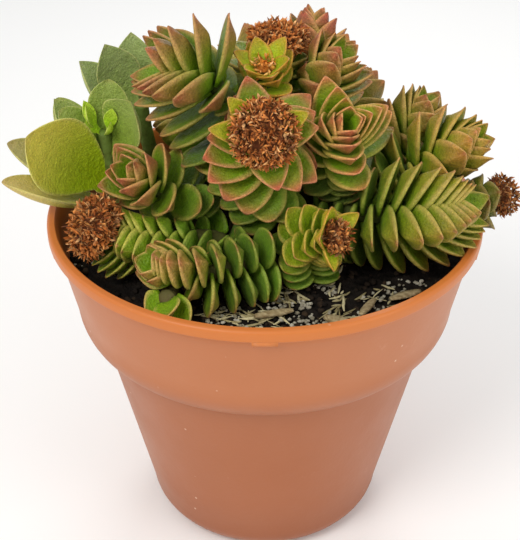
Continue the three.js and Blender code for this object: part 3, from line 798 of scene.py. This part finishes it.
def add_leaf(mesh, base, axes, points, tints):
    """A leaf's points, taken from X, Y and Z to its own length, width and face."""
    length, width, face = axes
    spots = base + points[:, :1] * length + points[:, 1:2] * width + points[:, 2:3] * face
    mesh.add(spots, LEAF_FACES, tints)


def add_bracts(mesh, shoot, stem, rng):
    """The small fresh leaves that stand round a head."""
    look = unit(shoot["aim"])
    side, up = frame_of(look)
    for turn, tilt, reach in shoot.get("bracts", ()):
        turn, tilt = math.radians(turn), math.radians(tilt)
        out = side * math.cos(turn) + up * math.sin(turn)
        length = out * math.sin(tilt) + look * math.cos(tilt)
        width = np.cross(look, out)
        points, share = leaf_points(reach, BRACT_WIDTH, BRACT_THICKNESS, 0.2, 0.1, 0.3)
        tints = leaf_tints(share, 0, dict(red=0.15, lime=shoot["fresh"]), rng)
        add_leaf(mesh, stem.at(stem.span - 1), (length, width, np.cross(length, width)), points, tints)


def build_shoot(name, shoot):
    node = "shoot_" + name
    solid = Solid(node)
    rng = seeded(name)
    stem = Stem(shoot["root"], placed(shoot["tip"]), unit(shoot["aim"]))
    start = 0.6 * STEM_RADIUS
    mesh = Mesh()
    for centre, axes, size, age in leaf_places(shoot, stem):
        reach = measured(solid, centre, axes, size)
        if reach is None:
            continue
        grown = float(smooth(age, 0, 0.6))
        blunt = 0.8 * grown * rng.uniform(0.5, 1)
        curl = lerp(0.12, 0.04, grown) + rng.uniform(-0.02, 0.02)
        points, share = leaf_points(reach, size[1], size[2], blunt, curl, lerp(0.28, 0.06, grown))
        points[:, 0] *= (reach - start) / reach
        roll = rng.uniform(-0.07, 0.07)
        length, width, face = axes
        rolled = (length, width * math.cos(roll) + face * math.sin(roll),
                  face * math.cos(roll) - width * math.sin(roll))
        add_leaf(mesh, centre + length * start, rolled, points, leaf_tints(share, age, shoot, rng))
    add_bracts(mesh, shoot, stem, rng)
    mesh.build("leaves_" + name, MATERIALS["stacked"], [node])
    stalk = Mesh()
    add_stem(stalk, stem, STEM_RADIUS * 0.95, (srgb(96, 72, 44), srgb(98, 112, 52)), 0.05)
    stalk.build("stem_" + name, MATERIALS["stem"], [])


# ---- Dried flower heads ----

RUST = [srgb(156, 84, 34), srgb(184, 106, 44), srgb(128, 66, 28), srgb(204, 128, 66), srgb(98, 52, 26)]
STRAW = [srgb(236, 184, 124), srgb(222, 154, 84), srgb(202, 120, 54)]
HEAD_GAP = 0.3
HEAD_SWEEP = 128
CORE_SIDES = 20
CLUMP_FLAKES = 7
GOLDEN_ANGLE = math.pi * (3 - math.sqrt(5))
ORANGE = [srgb(246, 172, 70), srgb(232, 142, 50), srgb(250, 200, 116)]


def add_flake(mesh, base, direction, length, width, curl, tint, rng):
    """A narrow curled flake: a folded strip, widest past its middle, pointed at its end."""
    side, up = frame_of(direction)
    turn = rng.uniform(0, 2 * math.pi)
    side, up = side * math.cos(turn) + up * math.sin(turn), up * math.cos(turn) - side * math.sin(turn)
    points = []
    for u, w in ((0, 0.35), (0.35, 0.8), (0.7, 1.0), (1.0, 0.12)):
        bend = curl * length * u * u
        middle = base + direction * (length * u * (1 - 0.25 * abs(curl) * u)) + up * bend
        half = side * (width / 2 * w)
        fold = up * (width * 0.3 * w)
        points += [middle - half, middle - fold, middle + half]
    faces = [(3 * i + j, 3 * i + j + 1, 3 * i + j + 4, 3 * i + j + 3) for i in range(3) for j in range(2)]
    # Painted shade at the flake's base and a painted highlight towards its end: the tint runs from 0.4 to
    # 1.5 times along it.
    shade = np.repeat(np.array([0.4, 0.8, 1.2, 1.5]), 3)[:, None]
    mesh.add(points, faces, tint * shade)


def head_surface(radius, height, u, turn):
    """A point of the domed head and its outward direction, with the axis along Z."""
    polar = u * math.radians(HEAD_SWEEP)
    x, y = math.sin(polar) * math.cos(turn), math.sin(polar) * math.sin(turn)
    z = height * (0.48 + 0.52 * math.cos(polar))
    out = unit((x / radius, y / radius, math.cos(polar) / (0.55 * height)))
    return np.array([radius * x, radius * y, max(z, 0.02 * height)]), out


def build_head(name, shoot):
    rng = seeded("head" + name)
    radius, height = shoot["head"]
    look = unit(shoot["aim"])
    tip = placed(shoot["tip"]) + look * HEAD_GAP
    turn_into = np.column_stack([*frame_of(look), look])
    core = [(0.2 * radius, 0), (0.55 * radius, 0.1 * height), (0.66 * radius, 0.33 * height),
            (0.52 * radius, 0.6 * height), (0.25 * radius, 0.72 * height)]
    fresh = shoot.get("lime", 0) > 0.9
    palette = ORANGE if fresh else RUST
    # A shoot's dark value is painted shade on its head too: the head is darkened by it, whatever its sign.
    painted_head_shade = 1 - 0.35 * abs(shoot.get("dark", 0))
    mesh = Mesh()
    mesh.add(turned(core, CORE_SIDES) @ turn_into.T + tip, closed_faces(len(core), CORE_SIDES),
             srgb(196, 118, 44) if fresh else srgb(112, 62, 32))
    clumps = max(24, int(3.4 * radius * radius))
    for i in range(clumps):
        u = ((i + 0.5) / clumps) ** 0.6
        centre, out = head_surface(radius * 0.8, height * 0.86, u, i * GOLDEN_ANGLE)
        lean = unit(out + rng.normal(0, 0.45, 3))
        tint = palette[rng.integers(len(palette))] * rng.uniform(0.8, 1.2) * painted_head_shade
        for _ in range(CLUMP_FLAKES):
            spread = unit(lean + rng.normal(0, 0.6 + 0.5 * (1 - u), 3))
            light = STRAW[rng.integers(len(STRAW))] * painted_head_shade
            colour = lerp(tint, light, rng.uniform(0, 1) ** 1.6)
            base = centre + rng.normal(0, 0.28, 3)
            length = rng.uniform(0.9, 2.2) * (0.75 + 0.03 * radius)
            add_flake(mesh, turn_into @ base + tip, turn_into @ spread, length, rng.uniform(0.32, 0.68),
                      rng.uniform(-0.9, 0.9), colour, rng)
    mesh.build("florets_" + name, MATERIALS["floret"], ["flower_head_" + name])


# ---- Broad-leaved plant ----

BROAD_STEMS = {
    "broad_stem_left": dict(root=(-35.5, 4), tip=(-38.5, 5, 17.5)),
    "broad_stem_back": dict(root=(-29, 26), tip=(-31.5, 25.5, 15)),
}
BROAD_LEAVES = {
    "broad_leaf_1": ("broad_stem_left", 4.5, (-53.5, -11.5, 24), (0.3, -0.85, 0.4), 18.5, 4, 2.6),
    "broad_leaf_2": ("broad_stem_left", -1.5, (-61, -9, 11), (0.3, 0.1, 0.95), 12, 3.4, 1.2),
    "broad_leaf_3": ("broad_stem_left", 4.5, (-62, 5, 14), (0.35, -0.3, 0.88), 11, 3.6, 2),
    "broad_leaf_4": ("broad_stem_left", 10.5, (-51, 12, 22.5), (0.6, -0.3, 0.75), 10.5, 3, 1.5),
    "broad_leaf_5": ("broad_stem_left", 14, (-48.5, 4, 23.2), (0.5, -0.6, 0.65), 8.5, 2.6, 1),
    "broad_leaf_6": ("broad_stem_left", 14.5, (-37, 10, 28.5), (0, -0.95, 0.25), 10, 2.8, 1.4),
    "broad_leaf_7": ("broad_stem_left", 12, (-31, 0, 27.5), (-0.5, -0.75, 0.35), 14, 3.2, 1.8),
    "broad_leaf_8": ("broad_stem_left", 6.5, (-51.5, 19, 19.5), (0.5, -0.5, 0.7), 11, 3.2, 1.8),
    "broad_leaf_9": ("broad_stem_left", 17.9, (-42, 3, 25), (0.4, -0.3, 0.85), 3.6, 1.6, 0.6),
    "broad_leaf_10": ("broad_stem_left", 17.2, (-43, 6.6, 24.6), (0.4, -0.5, 0.8), 3.6, 1.6, 0.6),
    "back_leaf_1": ("broad_stem_back", 11, (-46, 23, 27.5), (0.7, -0.4, 0.6), 11, 3.2, 1.8),
    "back_leaf_2": ("broad_stem_back", 13, (-39, 20.5, 33), (0.3, -0.85, 0.3), 11.5, 3.2, 1.8),
    "back_leaf_3": ("broad_stem_back", 14, (-33.5, 29.5, 32.5), (0.1, -0.95, 0.2), 10.5, 3.2, 1.8),
    "back_leaf_4": ("broad_stem_back", 8, (-42, 40, 21), (0.45, -0.5, 0.75), 11, 3.2, 1.8),
}


# The smallest leaves of the bud, which have no solids of their own in the frame.
BUD_LEAVES = {
    "bud_leaf_1": ("broad_stem_left", 17.8, (-35.9, 3.2, 24.2), (0.2, -0.7, 0.6), 3.4, 1.5, 0.5),
    "bud_leaf_2": ("broad_stem_left", 17.8, (-42.2, 1.0, 21.6), (0.1, -0.5, 0.85), 3.2, 1.5, 0.5),
    "bud_leaf_3": ("broad_stem_left", 17.8, (-36.4, 0.6, 21.2), (-0.1, -0.5, 0.85), 3.2, 1.5, 0.5),
}

# A broad leaf's colour at its base and towards its tip.
BROAD_TINTS = {
    "broad_leaf": (srgb(134, 158, 50), srgb(156, 172, 88)),
    "back_leaf": (srgb(154, 174, 92), srgb(174, 188, 124)),
    "broad_leaf_1": (srgb(166, 190, 14), srgb(216, 202, 84)),
    "broad_leaf_2": (srgb(196, 194, 66), srgb(200, 176, 96)),
    "broad_leaf_3": (srgb(150, 168, 56), srgb(176, 162, 96)),
    "bud": (srgb(176, 212, 36), srgb(198, 226, 70)),
}
IN_BUD = ("broad_leaf_9", "broad_leaf_10", *BUD_LEAVES)
POINTED = ("back_leaf_1", "back_leaf_2", "back_leaf_3", "broad_leaf_4", "broad_leaf_7", *IN_BUD)


class BroadStem(Stem):
    """A nearly upright stem, whose height grows evenly along its curve."""

    def __init__(self, root, tip):
        start = np.array([root[0], root[1], SOIL_TOP], float)
        third = np.array([0, 0, (tip[2] - start[2]) / 3])
        self.follow(start, start + third, tip - third, tip)


def build_broad_leaf(name, spec, stems):
    stem_name, height, tip, face, width, thickness, bow = spec
    stem = stems[stem_name]
    rng = seeded(name)
    level = POT_HEIGHT + height
    base = np.array([np.interp(level, stem.points[:, 2], stem.points[:, k]) for k in range(3)])
    tip = placed(tip)
    away = unit((tip - base) * np.array([1, 1, 0]))
    base = base + away * (BROAD_STEM_RADIUS * 0.8)
    spine = tip - base
    length = np.linalg.norm(spine)
    along = unit(spine)
    face = np.array(face, float)
    face = unit(face - along * face.dot(along))
    across = np.cross(face, along)
    rows, ring = 30, 30
    share = 0.5 - 0.5 * np.cos(np.linspace(0.05, math.pi, rows))
    turn = np.linspace(0, 2 * math.pi, ring, endpoint=False)
    u, a = np.meshgrid(share, turn, indexing="ij")
    u, a = u.ravel(), a.ravel()
    outline = np.sin(math.pi * np.clip(u, 0, 1) ** 1.25) ** (0.98 if name in POINTED else 0.66)
    outline = np.where(u < 0.25, np.maximum(outline, 0.42 * (1 - u)), outline)
    cross = np.sign(np.cos(a)) * np.abs(np.cos(a)) ** 0.85
    belly = np.sin(a)
    flat = np.where(belly > 0, 0.45, 1.0)
    ripple = 1 + 0.012 * np.sin(9 * u + rng.uniform(0, 6))
    sideways = cross * outline * width / 2 * ripple
    cup = 0.16 * width * cross ** 2 * outline
    lift = cup - bow * np.sin(math.pi * u) + belly * flat * outline * thickness / 2
    points = base + along * (u * length)[:, None] + across * sideways[:, None] + face * lift[:, None]
    margin = smooth(np.abs(cross), 0.9, 1.0)[:, None]
    end = smooth(u, 0.9, 1.0)[:, None]
    plain = "bud" if name in IN_BUD else "back_leaf" if name.startswith("back_leaf") else "broad_leaf"
    low, high = BROAD_TINTS.get(name, BROAD_TINTS[plain])
    tint = lerp(low, high, smooth(u, 0.15, 0.95)[:, None]) * rng.uniform(0.94, 1.06)
    below = smooth(-belly, 0.1, 0.8)[:, None]
    tint = lerp(tint, tint * np.array([1.12, 1.1, 1.15]), below)
    edge = lerp(high, srgb(222, 212, 140), 0.7)
    tint = lerp(tint, edge, margin * 0.75)
    tint = lerp(tint, srgb(172, 128, 92), end * 0.3)
    mesh = Mesh()
    mesh.add(points, closed_faces(rows, ring), tint)
    replaced = [name] if name in BROAD_LEAVES else []
    mesh.build("skin_" + name, MATERIALS["broad"], replaced)


def build_broad_plant():
    stems = {}
    for name, spec in BROAD_STEMS.items():
        stems[name] = BroadStem(spec["root"], placed(spec["tip"]))
        mesh = Mesh()
        add_stem(mesh, stems[name], BROAD_STEM_RADIUS, (srgb(104, 96, 50), srgb(112, 136, 58)), 0.015)
        mesh.build("stalk_" + name, MATERIALS["stem"], [name])
    for name, spec in (BROAD_LEAVES | BUD_LEAVES).items():
        build_broad_leaf(name, spec, stems)


# ---- Potting mix ----


def soil_height(x, y):
    """The mix's height: highest in the middle, and level with the wall's edge all round."""
    share = np.hypot(x, y) / SOIL_RADIUS
    inner = SOIL_CROWN * 0.75
    rise = np.where(share < 0.5, lerp(SOIL_CROWN, inner, share * 2), lerp(inner, 0, share * 2 - 1))
    return SOIL_LEVEL + rise


def lumps(x, y, rng, count, wave):
    """A repeatable lumpy height, as a sum of many waves."""
    total = np.zeros_like(x)
    for _ in range(count):
        a = rng.uniform(0, 2 * math.pi)
        k = 2 * math.pi / (wave * rng.uniform(0.6, 1.6))
        total += np.sin(k * (x * math.cos(a) + y * math.sin(a)) + rng.uniform(0, 2 * math.pi))
    return total / math.sqrt(count)


def build_soil():
    rng = seeded("soil")
    rings, segments = 150, 420
    radius = np.sqrt(np.linspace(0.0004, 1, rings)) * SOIL_RADIUS
    a = np.linspace(0, 2 * math.pi, segments, endpoint=False)
    r, a = np.meshgrid(radius, a, indexing="ij")
    x, y = (r * np.cos(a)).ravel(), (r * np.sin(a)).ravel()
    bump = 0.35 * lumps(x, y, rng, 14, 9)
    bump += 0.22 * lumps(x, y, rng, 18, 3.2) + 0.12 * lumps(x, y, rng, 18, 1.5)
    bump += rng.normal(0, 0.09, len(x))
    z = soil_height(x, y) - 0.5 + bump
    points = np.column_stack([x, y, z])
    skirt = points[-segments:].copy()
    skirt[:, 2] -= SKIRT_DEPTH
    skirt[:, :2] *= 1 - SKIRT_DEPTH * COLLAR_TAPER / COLLAR_HEIGHT / SOIL_RADIUS
    points = np.concatenate([points, skirt])
    # Painted shade in the mix's hollows and painted light on its rises, following the lumps' height.
    shade = np.clip(0.6 + 0.5 * np.concatenate([bump, bump[-segments:]]), 0.25, 1.6)[:, None]
    mesh = Mesh()
    mesh.add(points, closed_faces(rings + 1, segments), srgb(38, 31, 25) * shade)
    mesh.build("mix_surface", MATERIALS["soil"], ["soil"])


def add_grain(mesh, centre, radius, tint, rng, stretch=1.0):
    """A small uneven crumb."""
    rows, ring = 5, 7
    points = []
    for i in range(rows):
        polar = math.pi * (i + 0.5) / rows
        for k in range(ring):
            turn = 2 * math.pi * k / ring
            r = radius * rng.uniform(0.7, 1.25)
            points.append((stretch * r * math.sin(polar) * math.cos(turn),
                           r * math.sin(polar) * math.sin(turn), 0.75 * r * math.cos(polar)))
    points = spun(points, rng.uniform(0, 2 * math.pi))
    mesh.add(points + centre, closed_faces(rows, ring), tint)


def open_ground(rng, bias):
    """A place on the mix, more often at the front right, where it is bare."""
    while True:
        r = SOIL_RADIUS * math.sqrt(rng.uniform(0, 1)) * 0.985
        a = rng.uniform(0, 2 * math.pi)
        x, y = r * math.cos(a), r * math.sin(a)
        bare = math.exp(-((x - 12) / 26) ** 2 - ((y + 38) / 16) ** 2)
        if rng.uniform(0, 1) < bare + bias:
            return x, y


def build_crumbs():
    """Dark crumbs of the mix, lying on it."""
    rng = seeded("crumbs")
    mesh = Mesh()
    for _ in range(CRUMBS):
        x, y = open_ground(rng, 0.25)
        radius = rng.uniform(0.25, 0.9)
        z = float(soil_height(x, y)) - 0.35 + 0.3 * radius
        if math.hypot(x, y) + radius > SOIL_RADIUS:
            continue
        tint = lerp(srgb(30, 24, 19), srgb(74, 58, 42), rng.uniform(0, 1) ** 2)
        add_grain(mesh, np.array([x, y, z]), radius, tint, rng)
    mesh.build("mix_crumbs", MATERIALS["soil"], [])


def build_grit():
    """Pale grit and perlite in clusters on the bare mix."""
    rng = seeded("grit")
    mesh = Mesh()
    clusters = [open_ground(rng, 0.01) for _ in range(GRIT_CLUSTERS)]
    for cx, cy in clusters:
        spread = rng.uniform(0.8, 2.4)
        for _ in range(rng.integers(6, 18)):
            x, y = cx + rng.normal(0, spread), cy + rng.normal(0, spread * 0.7)
            radius = rng.uniform(0.18, 0.55)
            if math.hypot(x, y) + radius > SOIL_RADIUS - WALL_CLEARANCE:
                continue
            z = float(soil_height(x, y)) + rng.uniform(-0.2, 0.5)
            tint = lerp(srgb(150, 142, 118), srgb(214, 208, 188), rng.uniform(0, 1))
            add_grain(mesh, np.array([x, y, z]), radius, tint, rng, rng.uniform(0.8, 1.5))
    mesh.build("pale_grit", MATERIALS["grit"], [])


def add_fibre(mesh, start, heading, length, width, tint, rng):
    """A thin straw fibre, lying on the mix and bowed a little."""
    steps, sides = 9, 5
    bow = rng.uniform(-0.25, 0.25)
    lift = rng.uniform(-0.02, 0.16)
    points = []
    for t in np.linspace(0, 1, steps):
        a = heading + bow * t
        x = start[0] + math.cos(a) * length * (t - 0.5)
        y = start[1] + math.sin(a) * length * (t - 0.5)
        taper = 0.35 + 0.65 * math.sin(math.pi * min(max(t, 0.06), 0.94))
        z = float(soil_height(x, y)) + 0.35 + lift * length * abs(t - 0.5)
        for k in range(sides):
            b = 2 * math.pi * k / sides
            across = width * 0.5 * taper * math.cos(b)
            points.append((x - math.sin(a) * across, y + math.cos(a) * across,
                           z + width * 0.32 * taper * math.sin(b)))
    mesh.add(points, closed_faces(steps, sides), tint)


# Where straw gathers on the mix: [x, y], its spread in x and y, how many, and their heading.
STRAW_DRIFTS = [
    ((-5, -34.5), (4.2, 1.3), 44, 0),
    ((3, -39), (4.6, 1), 26, 0.05),
    ((5, -27.5), (2.4, 1.6), 16, -0.6),
    ((16.5, -28.5), (1.6, 4), 24, 1.1),
    ((27, -26.5), (5, 2.2), 16, 0.5),
    ((17, -37), (5, 1.6), 12, 0.2),
]


def build_fibres():
    """Short pale straw, drifted in heaps on the bare mix."""
    rng = seeded("fibres")
    mesh = Mesh()
    for centre, spread, count, heading in STRAW_DRIFTS:
        for _ in range(count):
            x, y = centre[0] + rng.normal(0, spread[0]), centre[1] + rng.normal(0, spread[1])
            length = rng.uniform(1.4, 5.0)
            if math.hypot(x, y) + length * 0.5 > SOIL_RADIUS - WALL_CLEARANCE:
                continue
            tint = lerp(srgb(150, 136, 90), srgb(236, 224, 176), rng.uniform(0, 1))
            add_fibre(mesh, (x, y), heading + rng.normal(0, 0.5), length, rng.uniform(0.3, 0.85), tint, rng)
    mesh.build("straw_fibres", MATERIALS["bark"], [])


# Each bark chip's heading, and its length, width and height; its place is the frame's.
CHIPS = [(15, (9, 2.4, 1.2)), (-20, (6, 2.8, 1.4)), (60, (7, 2, 1.2)), (25, (8, 2.2, 1.2)), (5, (5, 3, 1.6))]


def build_chips():
    """Splintered bark chips, each in place of its plain solid."""
    for index, (turn, (length, width, height)) in enumerate(CHIPS, 1):
        node = f"bark_chip_{index}"
        low, high = (np.array(c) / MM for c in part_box(node))
        rng = seeded(node)
        steps, sides = 16, 12
        points, tints = [], []
        for t in np.linspace(0, 1, steps):
            taper = (math.sin(math.pi * (0.06 + 0.88 * t))) ** 0.45
            for k in range(sides):
                a = 2 * math.pi * k / sides
                grain = 1 + 0.1 * math.sin(5 * a + 1.3 * index) + rng.normal(0, 0.05)
                points.append(((t - 0.5) * length * (1 + rng.normal(0, 0.008)),
                               0.5 * width * taper * math.cos(a) * grain,
                               height * (0.5 + 0.5 * taper * math.sin(a) * grain)))
                tints.append(lerp(srgb(150, 128, 88), srgb(206, 188, 146), rng.uniform(0, 1)))
        centre = np.array([(low[0] + high[0]) / 2, (low[1] + high[1]) / 2, low[2]])
        mesh = Mesh()
        mesh.add(spun(points, math.radians(turn)) + centre, closed_faces(steps, sides), np.array(tints))
        mesh.build(f"splinter_{index}", MATERIALS["bark"], [node])


# ---- Camera, light and floor ----


def look_from(name, data, place, target):
    thing = add_object(name, data)
    thing.location = Vector(place) * MM
    aim = Vector(target) * MM - thing.location
    thing.rotation_euler = aim.to_track_quat("-Z", "Y").to_euler()
    return thing


def build_camera():
    data = bpy.data.cameras.new("camera")
    data.sensor_width = 36
    data.lens = 78.8
    data.clip_start = 0.01
    place = np.array([0, -248.53, 230.90])
    forward = np.array([-0.00424, 0.83662, -0.54777])
    camera = look_from("camera", data, place, place + forward * 100)
    bpy.context.scene.camera = camera


def build_light(name, place, target, size, power, colour=(1, 1, 1)):
    data = bpy.data.lights.new(name, "AREA")
    data.shape = "DISK"
    data.size = size * MM
    data.energy = power
    data.color = colour
    look_from(name, data, place, target)


def build_stage():
    mesh = bpy.data.meshes.new("floor")
    reach, depth = 4.0, 6.0
    mesh.from_pydata([(-reach, -reach, 0), (reach, -reach, 0), (reach, depth, 0), (-reach, depth, 0)],
                     [], [(0, 1, 2, 3)])
    floor = add_object("floor", mesh)
    n = Nodes("studio_floor")
    n.put(Specular_IOR_Level=0.15)
    colour = n.mix(n.noise(3), srgb(248, 248, 247), srgb(254, 254, 253))
    mesh.materials.append(n.finish(colour, n.noise(9), 0.75, 0.85))
    world = bpy.data.worlds.new("studio")
    world.use_nodes = True
    background = world.node_tree.nodes["Background"]
    background.inputs["Color"].default_value = (1, 1, 1, 1)
    background.inputs["Strength"].default_value = 0.66
    bpy.context.scene.world = world
    bpy.context.scene.view_settings.view_transform = "Standard"
    target = (0, 0, 70)
    build_light("key", (-230, -330, 480), target, 260, 1.5, (1, 0.985, 0.96))
    build_light("fill", (360, -260, 300), target, 320, 0.5)
    build_light("rim", (60, 380, 380), target, 240, 0.5)


build_camera()
build_stage()
build_pot()
build_rim_flash()
build_soil()
build_crumbs()
build_grit()
build_fibres()
build_chips()
build_broad_plant()
for shoot_name, shoot_spec in SHOOTS.items():
    build_shoot(shoot_name, shoot_spec)
    if "head" in shoot_spec:
        build_head(shoot_name, shoot_spec)
